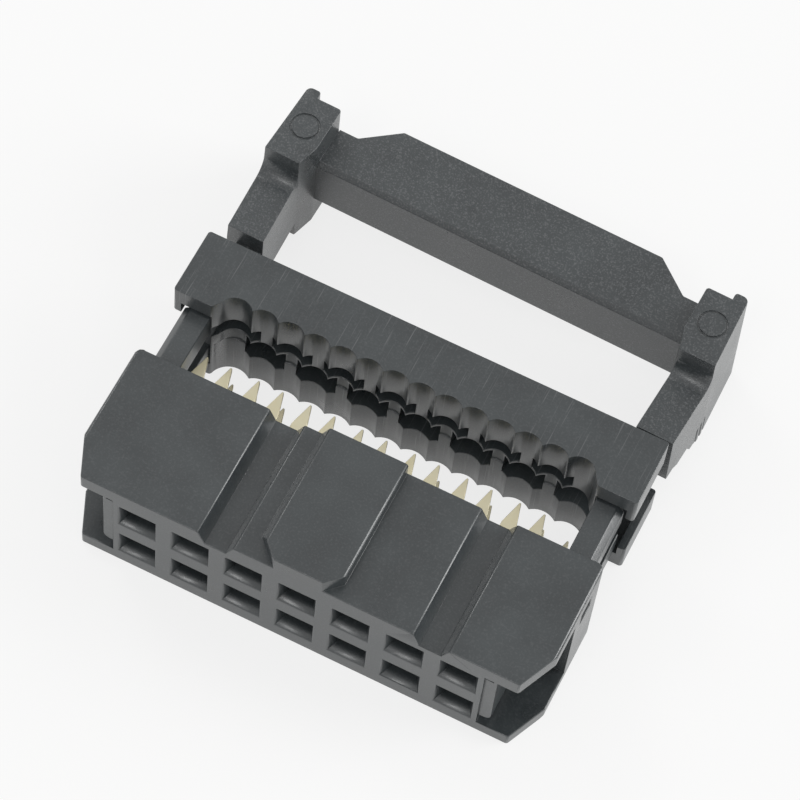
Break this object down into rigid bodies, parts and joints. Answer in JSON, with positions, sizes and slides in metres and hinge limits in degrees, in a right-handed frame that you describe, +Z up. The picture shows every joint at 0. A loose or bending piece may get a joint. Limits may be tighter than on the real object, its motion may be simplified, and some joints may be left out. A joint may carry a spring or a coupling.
{
  "type": "idc socket connector",
  "caption": "Black two-row insulation-displacement socket for flat ribbon cable, with a polarising key, a press-on scalloped cover and a U-shaped strain relief.",
  "frame": {"origin": "centre of the contact grid, in the plane of the mating face", "axes": "+X along the contact rows, +Y from the mating face back to the strain relief, +Z up to the side with the polarising key"},
  "size_m": [0.0228, 0.023, 0.0069],
  "materials": {
    "black_pbt": "fine spark-eroded mould finish",
    "plated_bronze": "thin pale gold flash over nickel on phosphor bronze strip"
  },
  "bodies": {
    "socket": {"socket_body": "black_pbt", "contact_01": "plated_bronze", "contact_02": "plated_bronze", "contact_03": "plated_bronze", "contact_04": "plated_bronze", "contact_05": "plated_bronze", "contact_06": "plated_bronze", "contact_07": "plated_bronze", "contact_08": "plated_bronze", "contact_09": "plated_bronze", "contact_10": "plated_bronze", "contact_11": "plated_bronze", "contact_12": "plated_bronze", "contact_13": "plated_bronze", "contact_14": "plated_bronze"},
    "cover": {"cover": "black_pbt"},
    "strain_relief": {"strain_relief": "black_pbt"}
  },
  "joints": [
    {"name": "cover_press", "type": "slide", "parent": "socket", "child": "cover", "axis": [0, -1, 0], "range_m": [0, 0.0033]},
    {"name": "strain_relief_press", "type": "slide", "parent": "cover", "child": "strain_relief", "axis": [0, -1, 0], "range_m": [0, 0.0007]}
  ]
}
